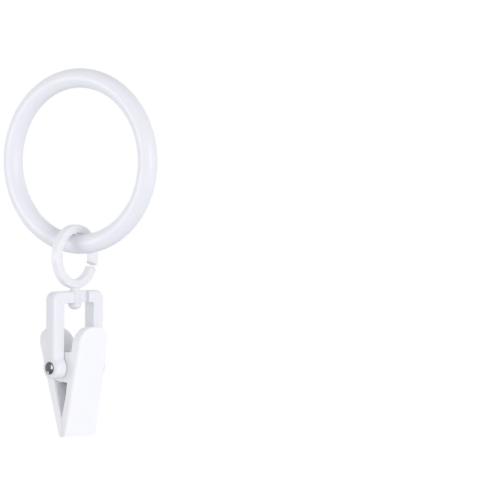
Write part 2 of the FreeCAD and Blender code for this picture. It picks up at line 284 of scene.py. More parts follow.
def draw_outline(
    name: str, corners: list[Corner], plane: Plane, closed: bool = True
) -> bpy.types.Object:
    """Draws an outline from corner to corner, and fills and rounds it if it is closed.

    Args:
        name: the new object's name.
        corners: the outline's corners.
        plane: the plane of the outline.
        closed: whether the outline runs back to its start and becomes a face.

    Returns:
        The outline as an object.
    """
    points = [plane.place(*corner[:2]) for corner in corners]
    deselect_all()
    bpy.ops.mesh.primitive_plane_add(size=1)
    obj = bpy.context.object
    obj.name = name
    with editing(obj):
        bpy.ops.mesh.merge(type="CENTER")
        bpy.ops.transform.translate(value=points[0])
        stops = points + points[:1] if closed else points
        for here, there in zip(stops, stops[1:]):
            bpy.ops.mesh.extrude_vertices_move(TRANSFORM_OT_translate={"value": there - here})
        if closed:
            bpy.ops.mesh.select_all(action="SELECT")
            bpy.ops.mesh.remove_doubles(threshold=DOUBLED)
            bpy.ops.mesh.select_all(action="SELECT")
            bpy.ops.mesh.edge_face_add()
            for number, corner in enumerate(corners):
                if any(corner[2:]):
                    round_corner(obj, points, number, corner[2])
    return obj


def round_corner(obj: bpy.types.Object, points: list[Vector], number: int, radius: float) -> None:
    """Rounds one corner of an outline that is open for editing.

    Args:
        obj: the outline.
        points: the outline's sharp corners in order.
        number: which of them is rounded.
        radius: the radius of the rounding.
    """
    here = points[number]
    opening = (points[number - 1] - here).angle(points[(number + 1) % len(points)] - here)
    turn = math.pi - opening
    select(obj, Element.CORNERS, lambda corner: (corner.co - here).length < NEAR)
    facets = max(FACETS_LEAST, round(turn * radius / FACET_LENGTH), round(turn / FACET_TURN))
    bpy.ops.mesh.bevel(
        offset=radius / math.tan(opening / 2),
        offset_type="ABSOLUTE",
        segments=min(facets, FACETS_MOST),
        affect="VERTICES",
        clamp_overlap=False,
    )


def make_prism(
    name: str, corners: list[Corner], plane: Plane, start: float, end: float
) -> bpy.types.Object:
    """Draws a closed outline and makes it a solid.

    Args:
        name: the new object's name.
        corners: the outline's corners.
        plane: the plane of the outline.
        start: where the solid starts along the plane's outward axis.
        end: where it ends.

    Returns:
        The solid.
    """
    prism = draw_outline(name, corners, plane)
    with editing(prism):
        bpy.ops.transform.translate(value=plane.outward * start)
        way = plane.outward * (end - start)
        bpy.ops.mesh.extrude_region_move(TRANSFORM_OT_translate={"value": way})
    return tidy_normals(prism)


def spin(obj: bpy.types.Object, axis: Vector, steps: int) -> bpy.types.Object:
    """Turns an outline once round an axis through the origin.

    Args:
        obj: the outline.
        axis: the direction of the axis.
        steps: how many steps the turn has.

    Returns:
        The same object, now a closed solid.
    """
    with editing(obj):
        bpy.ops.mesh.delete(type="ONLY_FACE")
        bpy.ops.mesh.select_all(action="SELECT")
        bpy.ops.mesh.spin(steps=steps, angle=math.tau, center=(0, 0, 0), axis=axis)
    return tidy_normals(obj)


def combine(obj: bpy.types.Object, other: bpy.types.Object, how: Cut) -> bpy.types.Object:
    """Lets one solid work on another and removes it.

    Args:
        obj: the solid that is kept.
        other: the solid that joins it or cuts it.
        how: what the other solid does.

    Returns:
        The kept solid.
    """
    activate(obj)
    step = obj.modifiers.new("combine", "BOOLEAN")
    step.object = other
    step.operation = how.value
    step.solver = "EXACT"
    bpy.ops.object.modifier_apply(modifier=step.name)
    bpy.data.objects.remove(other)
    return tidy_normals(obj)


def drill(
    obj: bpy.types.Object, radius: float, length: float, centre: Vector, axis: Vector
) -> None:
    """Drills a round hole with a pin that is taken away again.

    Args:
        obj: the solid that is drilled.
        radius: the pin's radius.
        length: the pin's length.
        centre: the middle of the pin.
        axis: the pin's direction.
    """
    deselect_all()
    turn = UP.rotation_difference(axis).to_euler()
    bpy.ops.mesh.primitive_cylinder_add(
        vertices=DRILL_SIDES, radius=radius, depth=length, location=centre, rotation=turn
    )
    pin = bpy.context.object
    apply_place(pin)
    combine(obj, pin, Cut.REMOVE)


def bevel(
    obj: bpy.types.Object, wanted: Callable[[Vector, Vector], bool], width: float, segments: int
) -> None:
    """Rounds those sharp edges of a solid whose two ends are wanted.

    Args:
        obj: the solid.
        wanted: says of an edge's two ends whether the edge is rounded.
        width: the radius of the rounding.
        segments: how many faces the rounding has.
    """

    def is_rim(edge: bmesh.types.BMEdge) -> bool:
        """Tells a sharp edge between two faces whose ends are wanted."""
        sharp = len(edge.link_faces) == 2 and edge.calc_face_angle(0) >= SHARP_ANGLE
        return sharp and wanted(edge.verts[0].co, edge.verts[1].co)

    with editing(obj, Element.EDGES):
        found = select(obj, Element.EDGES, is_rim)
        if found:
            bpy.ops.mesh.bevel(
                offset=width, segments=segments, affect="EDGES", clamp_overlap=False
            )
    log.info("%s: %d edges rounded to %.2f mm", obj.name, found, width)


def enlist(obj: bpy.types.Object, node: str, body: str) -> None:
    """Lets a piece stand for a node of the frame and move with its body.

    Args:
        obj: the finished piece.
        node: the node that it replaces.
        body: the body that it rides on.
    """
    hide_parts(node)
    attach(obj, body)
    log.info("%s: %d faces, rides on %s", obj.name, len(obj.data.polygons), body)


def add_node(
    tree: bpy.types.NodeTree, kind: str, inputs: dict | None = None, **settings: object
) -> bpy.types.Node:
    """Adds one node to a tree with its settings and links.

    Args:
        tree: the node tree.
        kind: Blender's name for the node's type.
        inputs: for each socket, a value or the output socket that feeds it.
        **settings: the node's own properties.

    Returns:
        The node.
    """
    node = tree.nodes.new(kind)
    for key, value in settings.items():
        setattr(node, key, value)
    for key, value in (inputs or {}).items():
        if isinstance(value, bpy.types.NodeSocket):
            tree.links.new(value, node.inputs[key])
        else:
            node.inputs[key].default_value = value
    return node


def new_tree(name: str) -> tuple[bpy.types.Material, bpy.types.NodeTree, bpy.types.Node]:
    """Starts a material.

    Args:
        name: the material's name.

    Returns:
        The material, its tree and the output node, which is all that the tree holds.
    """
    material = bpy.data.materials.new(name)
    material.use_nodes = True
    tree = material.node_tree
    tree.nodes.clear()
    return material, tree, add_node(tree, "ShaderNodeOutputMaterial")


def tell_rays(tree: bpy.types.NodeTree, *kinds: str) -> bpy.types.NodeSocket:
    """Tells some kinds of ray from all the others.

    Args:
        tree: the node tree.
        *kinds: the Light Path outputs for the wanted rays.

    Returns:
        A socket that is 1 for the wanted rays and 0 for the others.
    """
    rays = add_node(tree, "ShaderNodeLightPath").outputs
    seen = rays[kinds[0]]
    for kind in kinds[1:]:
        either = add_node(tree, "ShaderNodeMath", {0: seen, 1: rays[kind]}, operation="MAXIMUM")
        seen = either.outputs[0]
    return seen


# Finishes


@dataclass(frozen=True)
class Pattern:
    """A cloudy pattern on a surface.

    Attributes:
        width_mm: the width of its patches.
        detail: how many finer layers it has.
        contrast: how strong each finer layer is.
    """

    width_mm: float
    detail: float
    contrast: float


def make_surface(
    name: str,
    colours: tuple[str, str],
    roughness: tuple[float, float],
    patterns: tuple[Pattern, Pattern],
    relief: tuple[float, float],
    sockets: dict[str, object],
) -> bpy.types.Material:
    """Makes a material whose colour and gloss follow one pattern, and its relief another.

    Args:
        name: the material's name.
        colours: the colours where the first pattern is weakest and where it is strongest.
        roughness: how dull the gloss is at those two.
        patterns: the pattern of colour and gloss, and the pattern of the relief.
        relief: the relief's height in millimetres and its strength.
        sockets: what else is set on the shader.

    Returns:
        The material, with its patterns in the object's own coordinates.
    """
    material, tree, output = new_tree(name)
    place = add_node(tree, "ShaderNodeTexCoord").outputs["Object"]
    # Where both patterns are the same, there is one noise for both.
    noises = [
        add_node(
            tree,
            "ShaderNodeTexNoise",
            {
                "Vector": place,
                "Scale": 1 / (pattern.width_mm * MM),
                "Detail": pattern.detail,
                "Roughness": pattern.contrast,
            },
        ).outputs["Fac"]
        for pattern in dict.fromkeys(patterns)
    ]
    colour = add_node(
        tree,
        "ShaderNodeMix",
        {"Factor": noises[0], MIX_FIRST: linear(colours[0]), MIX_SECOND: linear(colours[1])},
        data_type="RGBA",
    ).outputs[MIX_RESULT]
    dullness = add_node(
        tree,
        "ShaderNodeMapRange",
        {
            "Value": noises[0],
            "From Min": NOISE_LOW,
            "From Max": NOISE_HIGH,
            "To Min": roughness[0],
            "To Max": roughness[1],
        },
    ).outputs["Result"]
    bump = add_node(
        tree,
        "ShaderNodeBump",
        {"Height": noises[-1], "Distance": relief[0] * MM, "Strength": relief[1]},
    ).outputs["Normal"]
    skin = add_node(
        tree,
        "ShaderNodeBsdfPrincipled",
        {"Base Color": colour, "Roughness": dullness, "Normal": bump, **sockets},
    )
    tree.links.new(skin.outputs[0], output.inputs["Surface"])
    return material


@dataclass(frozen=True)
class MouldedPlastic:
    """Injection-moulded white plastic: the flow of the melt gives it a faint cloudiness, and the
    fine spark-eroded grain of the mould breaks its gloss.

    Attributes:
        name: the material's name.
        colour: the colour of most of the surface.
        flow_colour: the colour where the melt flowed last.
        roughness: how dull the gloss is on average.
        depth_share: how much of the light passes through the skin.
        depth_mm: how far that light travels.
        ior: the plastic's index of refraction.
        gloss: the strength of its reflections, 0.5 for a clean polished surface.
        smoother: how much less rough it is where the cloudiness is weakest.
        rougher: how much rougher it is where the cloudiness is strongest.
        flow: the cloudiness.
        grain: the mould's grain, drawn coarser than real so that it can show.
        grain_relief: the height of the grain in millimetres and its strength.
    """

    name: str
    colour: str
    flow_colour: str
    roughness: float
    depth_share: float
    depth_mm: float
    ior: float = 1.5
    gloss: float = 0.3
    smoother: float = 0.03
    rougher: float = 0.04
    flow: Pattern = Pattern(6.0, 2.0, 0.45)
    grain: Pattern = Pattern(0.8, 1.0, 0.5)
    grain_relief: tuple[float, float] = (0.0008, 1.0)

    def build(self) -> bpy.types.Material:
        """Makes the material.

        Returns:
            The material.
        """
        skin = {
            "IOR": self.ior,
            "Specular IOR Level": self.gloss,
            "Subsurface Weight": self.depth_share,
            "Subsurface Radius": DEPTH_OF_COLOURS,
            "Subsurface Scale": self.depth_mm * MM,
        }
        return make_surface(
            self.name,
            (self.colour, self.flow_colour),
            (self.roughness - self.smoother, self.roughness + self.rougher),
            (self.flow, self.grain),
            self.grain_relief,
            skin,
        )


@dataclass(frozen=True)
class Steel:
    """Steel that was drawn or headed cold: grey, polished by the tool, with faint lines or
    scuffs where the tool ran.

    Attributes:
        name: the material's name.
        colour: the colour of most of the surface.
        worn_colour: the colour along the tool's marks.
        roughness: how dull the polish is on average.
        smoother: how much less rough it is between the marks.
        rougher: how much rougher it is along them.
        marks: the tool's marks.
        mark_relief: the height of the marks in millimetres and its strength.
    """

    name: str
    colour: str
    worn_colour: str
    roughness: float
    smoother: float = 0.04
    rougher: float = 0.06
    marks: Pattern = Pattern(0.35, 3.0, 0.55)
    mark_relief: tuple[float, float] = (0.004, 0.6)

    def build(self) -> bpy.types.Material:
        """Makes the material.

        Returns:
            The material.
        """
        return make_surface(
            self.name,
            (self.colour, self.worn_colour),
            (self.roughness - self.smoother, self.roughness + self.rougher),
            (self.marks, self.marks),
            self.mark_relief,
            {"Metallic": 1.0},
        )


# ABS, cool white and satin, with the clearest highlights of the plastics.
RING_PLASTIC = MouldedPlastic("moulded_abs_ring", "#EDEDF2", "#EAEBF0", 0.34, 0.1, 0.6, gloss=0.4)
# Unfilled nylon, milky, because much light passes its skin.
EYELET_PLASTIC = MouldedPlastic("moulded_nylon_eyelet", "#EEEEF0", "#EBEBEE", 0.34, 0.5, 2.0)
# Nylon too, a little denser and smoother.
BAIL_PLASTIC = MouldedPlastic("moulded_nylon_bail", "#F0F0F4", "#EEEFF3", 0.3, 0.3, 1.4)
# ABS, the brightest and flattest white, with weak highlights.
JAW_PLASTIC = MouldedPlastic("moulded_abs_jaws", "#FBFBFD", "#FAFAFC", 0.36, 0.15, 1.0, gloss=0.22)
# Headed steel, dark and nearly mirror-like.
RIVET_STEEL = Steel("headed_steel_rivet", "#6E7071", "#5E6061", 0.1)
# Drawn wire, pale grey and silky, with finer marks.
SPRING_STEEL = Steel(
    "drawn_spring_wire", "#B4B6B8", "#9C9EA0", 0.26, marks=Pattern(0.2, 3.0, 0.55)
)


# Sub-assemblies


@dataclass
class Hanging:
    """Where the hanging pieces stand: how far they have slid round the ring and how they turn.

    Attributes:
        ring_radius: from the ring's centre to the middle of its tube.
        slide: how far round the ring the eyelet has slid from the lowest point.
        eyelet_turn: how far the eyelet has turned on the ring, its loop towards the front.
        turn: how far the bail has turned on the stem.
        swing: how far the jaws have swung on the rivet, their tips to the front.
        eyelet_below: how far the eyelet's centre lies below the middle of the tube.
        rivet_below: how far the rivet lies below the eyelet's centre.
    """

    ring_radius: float = 21.5
    slide: float = math.radians(3.57)
    eyelet_turn: float = math.radians(4)
    turn: float = math.radians(78.3)
    swing: float = math.radians(3.6)
    eyelet_below: float = 3.25
    rivet_below: float = 28.65

    def centre(self) -> Matrix:
        """Works out where the eyelet's centre is.

        Returns:
            The placement of the centre, without the eyelet's turn.
        """
        side = -self.ring_radius * math.sin(self.slide)
        level = -self.ring_radius * math.cos(self.slide) - self.eyelet_below
        return Matrix.Translation((side, 0, level))

    def eyelet(self) -> Matrix:
        """Gives the placement of the eyelet about the centre of its loop."""
        return self.centre() @ Matrix.Rotation(-self.eyelet_turn, 4, "Z")

    def bail(self) -> Matrix:
        """Gives the placement of what turns with the bail, about the middle of the rivet."""
        down = Matrix.Translation((0, 0, -self.rivet_below))
        return self.centre() @ down @ Matrix.Rotation(self.turn, 4, "Z")

    def jaws(self) -> Matrix:
        """Gives the placement of what swings with the jaws, about the middle of the rivet."""
        return self.bail() @ Matrix.Rotation(-self.swing, 4, "X")


@dataclass
class Piece(ABC):
    """A piece of the object, which is modelled first and then placed and finished."""

    @abstractmethod
    def model(self) -> bpy.types.Object:
        """Models the piece in millimetres about its own axes."""

    def build(self, placement: Matrix, material: bpy.types.Material) -> bpy.types.Object:
        """Models the piece, brings it to its place in metres, and shades and finishes it.

        Args:
            placement: where it goes, in millimetres.
            material: its finish.

        Returns:
            The finished piece, at the origin with its place in its mesh.
        """
        obj = self.model()
        obj.matrix_world = Matrix.Scale(MM, 4) @ placement
        apply_place(obj)
        bpy.ops.object.shade_smooth_by_angle(angle=SMOOTH_ANGLE)
        weights = obj.modifiers.new("flat_faces_first", "WEIGHTED_NORMAL")
        weights.keep_sharp = True
        bpy.ops.object.modifier_apply(modifier=weights.name)
        obj.data.materials.clear()
        obj.data.materials.append(material)
        return obj


@dataclass
class CurtainRing(Piece):
    """The closed ring, a round tube.

    Attributes:
        bore: the inside diameter.
        tube: the diameter of the tube.
        tube_sides: faces round the tube.
        turn_steps: faces round the ring.
    """

    bore: float = 38.0
    tube: float = 5.0
    tube_sides: int = 64
    turn_steps: int = 256

    def model(self) -> bpy.types.Object:
        """Spins the tube's section about the ring's axis.

        Returns:
            The ring.
        """
        deselect_all()
        middle = (self.bore + self.tube) / 2
        bpy.ops.mesh.primitive_circle_add(
            vertices=self.tube_sides, radius=self.tube / 2, location=(middle, 0, 0)
        )
        ring = bpy.context.object
        ring.name = "ring_moulding"
        apply_place(ring)
        return spin(ring, DEPTH, self.turn_steps)


@dataclass
class Eyelet(Piece):
    """The split loop with the stem and mushroom head that carry the bail.

    Attributes:
        outer: the loop's outside radius.
        inner: the loop's inside radius.
        width: the loop's width.
        edge: the radius of the loop's edges.
        loop_steps: faces round the loop.
        split_width: the width of the split.
        split_drop: how far below the level of the loop's centre the split points.
        split_edge: the radius of the edges at the split.
        stem: the stem's radius.
        neck: the stem's length between loop and bail.
        crossbar: the height of the crossbar that the stem passes.
        head: the head's radius.
        head_height: the head's height.
        head_rim: the height of the head's straight rim, above its dome.
        head_chamfer: the width of the chamfer on the head's top edge.
        clearance: the gap between head and crossbar.
        root_fillet: the radius where the stem leaves the loop.
        root_overlap: how far that fillet starts inside the loop.
    """

    outer: float = 8.25
    inner: float = 6.05
    width: float = 2.4
    edge: float = 0.5
    loop_steps: int = 192
    split_width: float = 0.95
    split_drop: float = math.radians(21.8)
    split_edge: float = 0.12
    stem: float = 1.25
    neck: float = 0.7
    crossbar: float = 3.05
    head: float = 1.75
    head_height: float = 1.75
    head_rim: float = 0.35
    head_chamfer: float = 0.08
    clearance: float = 0.05
    root_fillet: float = 0.4
    root_overlap: float = 0.2

    def make_loop(self) -> bpy.types.Object:
        """Spins the rounded section of the loop and cuts the split out of it.

        Returns:
            The loop about its centre.
        """
        half, gap = self.width / 2, self.split_width / 2
        section = rectangle(-half, half, self.inner, self.outer, self.edge)
        loop = draw_outline("eyelet_moulding", section, Plane.FRONT)
        spin(loop, ALONG, self.loop_steps)
        cut = rectangle(self.inner - PAST, self.outer + PAST, -gap, gap)
        slot = make_prism("split_tool", cut, Plane.SIDE, -self.width, self.width)
        slot.rotation_euler = (-self.split_drop, 0, 0)
        apply_place(slot)
        combine(loop, slot, Cut.REMOVE)
        way = Vector((0, math.cos(self.split_drop), -math.sin(self.split_drop)))
        across = Vector((0, math.sin(self.split_drop), math.cos(self.split_drop)))

        def at_split(point: Vector) -> bool:
            """Tells a point of the two cut ends."""
            return abs(abs(point.dot(across)) - gap) < NEAR and point.dot(way) > 0

        bevel(loop, both(at_split), self.split_edge, segments=3)
        return loop

    def make_stem(self) -> bpy.types.Object:
        """Spins the stem and its head, with a small fillet below the loop.

        Returns:
            The stem, about the loop's centre.
        """
        middle = (self.inner + self.outer) / 2
        root = self.root_overlap - self.outer
        head_top = -(self.outer + self.neck + self.crossbar + self.clearance)
        rim_low = head_top - self.head_rim
        flare = self.stem + self.root_fillet
        fillet_centre = (flare, root - self.root_fillet)
        drop = self.head_height - self.head_rim
        section = [
            (0, -middle),
            (flare, -middle),
            *arc(fillet_centre, self.root_fillet, RIGHT_ANGLE, math.pi, steps=8),
            (self.stem, head_top),
            (self.head - self.head_chamfer, head_top),
            (self.head, head_top - self.head_chamfer),
            *arc((0, rim_low), self.head, 0, -RIGHT_ANGLE, steps=18, rise=drop),
        ]
        stem = draw_outline("stem", section, Plane.FRONT, closed=False)
        return spin(stem, UP, TURNED_SIDES)

    def model(self) -> bpy.types.Object:
        """Joins loop and stem."""
        return combine(self.make_loop(), self.make_stem(), Cut.JOIN)


@dataclass
class Bail(Piece):
    """The bail: crossbar, two arms and the round bosses that hold the rivet.

    Attributes:
        half_width: from the middle to an arm's outside.
        half_depth: half the depth of arms and crossbar.
        height: from the rivet to the bail's top.
        arm: the width of an arm.
        crossbar: the height of the crossbar.
        corner: the radius of the two top corners.
        edge: the radius of the outer edges.
        window_corner: the radius of the window's top corners.
        window_edge: the radius of the window's edges.
        boss: the radius of a boss.
        boss_fillet: the radius between arm and boss.
        recess_left: from the middle to the left side of the stem's recess.
        recess_right: from the middle to its right side.
        recess_depth: how far the recess runs in from the front.
        stem_hole: the radius of the hole for the stem.
        rivet_hole: the radius of the hole for the rivet's shank.
        seat: the radius of the shallow seat for the rivet's head.
        seat_depth: how deep that seat is.
        front_slab: half the depth of the front outline's solid, before the side's trims it.
        side_slab: half the width of the side outline's solid.
    """

    half_width: float = 8.7
    half_depth: float = 1.8
    height: float = 19.7
    arm: float = 3.55
    crossbar: float = 3.05
    corner: float = 2.2
    edge: float = 0.8
    window_corner: float = 0.6
    window_edge: float = 0.2
    boss: float = 2.8
    boss_fillet: float = 0.8
    recess_left: float = 1.7
    recess_right: float = 3.45
    recess_depth: float = 1.24
    stem_hole: float = 1.3
    rivet_hole: float = 1.12
    seat: float = 1.65
    seat_depth: float = 0.2
    front_slab: float = 4.0
    side_slab: float = 10.0

    def side_corners(self) -> list[Corner]:
        """Gives the outline from the side: straight arm, fillets and the round of the boss.

        Returns:
            The outline's corners.
        """
        side = self.half_depth + self.boss_fillet
        level = math.sqrt((self.boss + self.boss_fillet) ** 2 - side**2)
        meeting = math.atan2(level, side)
        fillet = arc((side, level), self.boss_fillet, math.pi, math.pi + meeting, steps=8)
        boss = arc((0, 0), self.boss, meeting, -math.pi - meeting, steps=48)
        right = [(self.half_depth, self.height + 2 * PAST), *fillet]
        return right + boss[1:-1] + mirrored(right)

    def front_corners(self) -> list[Corner]:
        """Gives the outline from the front, with the window open below.

        Returns:
            The outline's corners.
        """
        window = self.half_width - self.arm
        window_top = self.height - self.crossbar
        below = -self.boss - PAST
        return [
            (-self.half_width, below),
            (-window, below),
            (-window, window_top, self.window_corner),
            (window, window_top, self.window_corner),
            (window, below),
            (self.half_width, below),
            (self.half_width, self.height, self.corner),
            (-self.half_width, self.height, self.corner),
        ]

    def on_outside(self, point: Vector) -> bool:
        """Tells a point of the outer sides, the top or the rounded top corners.

        Args:
            point: a point of the bail.

        Returns:
            Whether it is one.
        """
        if abs(abs(point.x) - self.half_width) < NEAR or abs(point.z - self.height) < NEAR:
            return True
        across = abs(point.x) - (self.half_width - self.corner)
        up = point.z - (self.height - self.corner)
        return across > 0 and up > 0 and math.hypot(across, up) > self.corner * CHORD_SHARE

    def on_window(self, point: Vector) -> bool:
        """Tells a point of the window's sides and top."""
        inside = abs(point.x) < self.half_width - self.arm + NEAR
        return inside and point.z < self.height - self.crossbar + NEAR

    def model(self) -> bpy.types.Object:
        """Crosses the two outlines, rounds the edges and cuts recess, hole and bores.

        Returns:
            The bail about the middle of the rivet.
        """
        depth, width = self.front_slab, self.side_slab
        bail = make_prism("bail_moulding", self.front_corners(), Plane.FRONT, -depth, depth)
        side = make_prism("side_tool", self.side_corners(), Plane.SIDE, -width, width)
        combine(bail, side, Cut.KEEP_SHARED)
        bevel(bail, both(self.on_outside), self.edge, segments=6)
        bevel(bail, both(self.on_window), self.window_edge, segments=3)
        low, high = self.height - self.crossbar - PAST, self.height + PAST
        front, back = -self.half_depth - PAST, -self.half_depth + self.recess_depth
        opening = rectangle(-self.recess_left, self.recess_right, low, high)
        combine(bail, make_prism("recess_tool", opening, Plane.FRONT, front, back), Cut.REMOVE)
        drill(bail, self.stem_hole, STEM_DRILL, UP * self.height, UP)
        drill(bail, self.rivet_hole, BORE_DRILL, ORIGIN, ALONG)
        for way in (-1, 1):
            face = way * (self.half_width - self.seat_depth + PAST)
            drill(bail, self.seat, 2 * PAST, ALONG * face, ALONG)
        return bail


@dataclass
class Rivet(Piece):
    """The rivet: a plain shank with a domed head at each end.

    Attributes:
        shank: the radius of the shank.
        head: the radius of a head.
        seat_face: from the middle to the underside of a head.
        crown: the height of a head at its middle.
        rim: the height of a head at its edge.
        rim_round: the radius of that edge.
    """

    shank: float = 1.1
    head: float = 1.55
    seat_face: float = 8.5
    crown: float = 0.55
    rim: float = 0.33
    rim_round: float = 0.18

    def head_points(self) -> list[Corner]:
        """Gives one head's section from its underside to the middle of its dome.

        Returns:
            The section's points.
        """
        rise = self.crown - self.rim
        face = self.head - self.rim_round
        dome = (face**2 + rise**2) / (2 * rise)
        rim_centre = (self.seat_face + self.rim - self.rim_round, face)
        rim = arc(rim_centre, self.rim_round, RIGHT_ANGLE, 0, steps=6)
        dome_centre = (self.seat_face + self.crown - dome, 0)
        return [
            (self.seat_face, self.head),
            *rim[:-1],
            *arc(dome_centre, dome, math.asin(face / dome), 0, steps=16),
        ]

    def model(self) -> bpy.types.Object:
        """Spins the section about the rivet's axis.

        Returns:
            The rivet about its middle.
        """
        right = self.head_points()
        shank = [(-self.seat_face, self.shank), (self.seat_face, self.shank)]
        section = mirrored(right) + shank + right
        rivet = draw_outline("rivet_headed", section, Plane.FRONT, closed=False)
        return spin(rivet, ALONG, TURNED_SIDES)


@dataclass
class Jaw(Piece):
    """One jaw: a tapering plate, lever above and grip below, with two ears on the rivet.

    Attributes:
        side: the front jaw or the back one.
        ear_face: from the middle to an ear's outer face.
        spread: the distance between the two plates at the rivet.
        wall: the plate's thickness at the rivet.
        tip_wall: the plate's thickness at the mouth.
        web_drop: where the inner face bends, below the rivet.
        web: half the distance between the two plates there.
        grip: half the gap between the closed tips.
        grip_drop: where the tips start to lie flat, below the rivet.
        mouth_drop: the mouth, below the rivet.
        mouth_half: half the width at the mouth.
        lever_height: the lever's top, above the rivet.
        lever_half: half the width at the lever's top.
        lever_corner: the radius of the lever's top corners.
        edge: the radius of the outer edges.
        inner_edge: the radius of the inner edges.
        side_draft: how much narrower the inner face is on each side, for the mould's draft.
        ear_wall: an ear's thickness.
        ear_top: the ear's top, above the rivet.
        ear_root_drop: where the ear leaves its plate, below the rivet.
        ear_heel_drop: the ear's heel, below the rivet.
        ear_corner: the radius of the ear's upper corner.
        ear_gap: the gap between an ear and the other plate.
        opening: how far the jaws open.
        pivot: the radius of the hole for the rivet.
        inner_lean: how much the inner face leans, for each millimetre of height.
        outer_lean: how much the outer face leans.
    """

    side: Side
    ear_face: float
    spread: float = 6.6
    wall: float = 2.9
    tip_wall: float = 1.3
    web_drop: float = 8.0
    web: float = 1.65
    grip: float = 0.03
    grip_drop: float = 13.3
    mouth_drop: float = 18.0
    mouth_half: float = 5.45
    lever_height: float = 10.25
    lever_half: float = 4.85
    lever_corner: float = 4.2
    edge: float = 0.7
    inner_edge: float = 0.12
    side_draft: float = 0.15
    ear_wall: float = 1.2
    ear_top: float = 3.9
    ear_root_drop: float = 4.2
    ear_heel_drop: float = 3.2
    ear_corner: float = 0.6
    ear_gap: float = 0.25
    opening: float = math.radians(30)
    pivot: float = 1.15
    inner_lean: float = field(init=False)
    outer_lean: float = field(init=False)

    def __post_init__(self) -> None:
        """Works out how much the plate's two faces lean."""
        half_gap = self.spread / 2 - self.grip
        self.inner_lean = half_gap / self.grip_drop
        self.outer_lean = (half_gap + self.wall - self.tip_wall) / self.mouth_drop

    def inside(self, height: float) -> float:
        """Gives how far the inner face stands from the middle.

        Args:
            height: the height above the rivet.

        Returns:
            The distance.
        """
        if height > 0:
            return self.spread / 2 + self.inner_lean * height
        if height > -self.web_drop:
            return self.spread / 2 + (self.spread / 2 - self.web) * height / self.web_drop
        share = (height + self.grip_drop) / (self.grip_drop - self.web_drop)
        return self.grip + (self.web - self.grip) * max(share, 0.0)

    def outside(self, height: float) -> float:
        """Gives how far the outer face stands from the middle at a height."""
        return self.spread / 2 + self.wall + self.outer_lean * height

    def half(self, height: float) -> float:
        """Gives half the jaw's width at a height."""
        taper = (self.mouth_half - self.lever_half) / (self.mouth_drop + self.lever_height)
        return self.lever_half + taper * (self.lever_height - height)

    def make_plate(self) -> bpy.types.Object:
        """Crosses the plate's section with its outline and rounds its edges.

        Returns:
            The plate about the middle of the rivet.
        """
        sign = self.side.value
        crest, foot = self.lever_height + PAST, -self.mouth_drop - PAST
        depth, width = self.outside(crest) + PAST, self.mouth_half + PAST
        outline = [
            (-self.half(foot), foot),
            (self.half(foot), foot),
            (self.half(self.lever_height), self.lever_height, self.lever_corner),
            (-self.half(self.lever_height), self.lever_height, self.lever_corner),
        ]
        name = f"{self.side.name.lower()}_jaw_moulding"
        plate = make_prism(name, outline, Plane.FRONT, -depth, depth)
        section = [
            (sign * self.grip, -self.mouth_drop),
            (sign * self.grip, -self.grip_drop),
            (sign * self.web, -self.web_drop),
            (sign * self.spread / 2, 0),
            (sign * self.inside(crest), crest),
            (sign * self.outside(crest), crest),
            (sign * (self.grip + self.tip_wall), -self.mouth_drop),
        ]
        combine(
            plate, make_prism("section_tool", section, Plane.SIDE, -width, width), Cut.KEEP_SHARED
        )

        def outer_rim(start: Vector, end: Vector) -> bool:
            """Tells an edge of the outer face, apart from the mouth's."""
            on_face = all(abs(abs(p.y) - self.outside(p.z)) < NEAR for p in (start, end))
            return on_face and max(start.z, end.z) >= -self.mouth_drop + NEAR

        def above_tips(point: Vector) -> bool:
            """Tells a point of the inner face above the tips."""
            return self.on_inside(point) and point.z > -self.grip_drop + NEAR

        self.draft(plate)
        bevel(plate, outer_rim, self.edge, segments=6)
        bevel(plate, both(above_tips), self.inner_edge, segments=2)
        return plate

    def on_inside(self, point: Vector) -> bool:
        """Tells a point of the inner face."""
        return abs(abs(point.y) - self.inside(point.z)) < NEAR

    def draft(self, plate: bpy.types.Object) -> None:
        """Slants the plate's sides, so that its inner face is a little narrower.

        Args:
            plate: the plate.
        """
        share = 1 - self.side_draft / self.mouth_half
        with editing(plate):
            select(plate, Element.CORNERS, lambda corner: self.on_inside(corner.co))
            bpy.ops.transform.resize(value=(share, 1, 1), center_override=(0, 0, 0))

    def make_ear(self) -> bpy.types.Object:
        """Draws one ear about the rivet and rounds its edges.

        Returns:
            The ear on the side of +X.
        """
        sign = self.side.value
        lean = math.atan(self.inner_lean)
        reach = self.spread / 2 * math.cos(lean) - self.ear_gap
        bend = lean - self.opening / 2
        corner_reach = reach / math.cos(self.opening / 2)
        open_reach = reach / math.cos(self.opening - lean)
        back_reach = open_reach - math.tan(self.opening - lean) * self.ear_top
        heel_reach = reach / math.cos(lean) - self.inner_lean * self.ear_heel_drop
        root = self.spread / 2 + self.wall / 2
        outline = [
            (sign * (root + self.inner_lean * self.ear_top), self.ear_top),
            (-sign * back_reach, self.ear_top, self.ear_corner),
            (-sign * corner_reach * math.cos(bend), -corner_reach * math.sin(bend), reach),
            (-sign * heel_reach, -self.ear_heel_drop),
            (sign * (root - self.inner_lean * self.ear_root_drop), -self.ear_root_drop),
        ]
        ear = make_prism("ear", outline, Plane.SIDE, self.ear_face - self.ear_wall, self.ear_face)

        def in_one_face(start: Vector, end: Vector) -> bool:
            """Tells an edge that runs in one of the ear's two faces."""
            return abs(start.x - end.x) < NEAR

        bevel(ear, in_one_face, self.inner_edge, segments=2)
        return ear

    def model(self) -> bpy.types.Object:
        """Joins the plate and its two ears and drills the pivot.

        Returns:
            The jaw about the middle of the rivet.
        """
        jaw = self.make_plate()
        for way in (1, -1):
            ear = self.make_ear()
            if way < 0:
                ear.scale = (-1, 1, 1)
                apply_place(ear)
                tidy_normals(ear)
            combine(jaw, ear, Cut.JOIN)
        drill(jaw, self.pivot, PIVOT_DRILL, ORIGIN, ALONG)
        return jaw


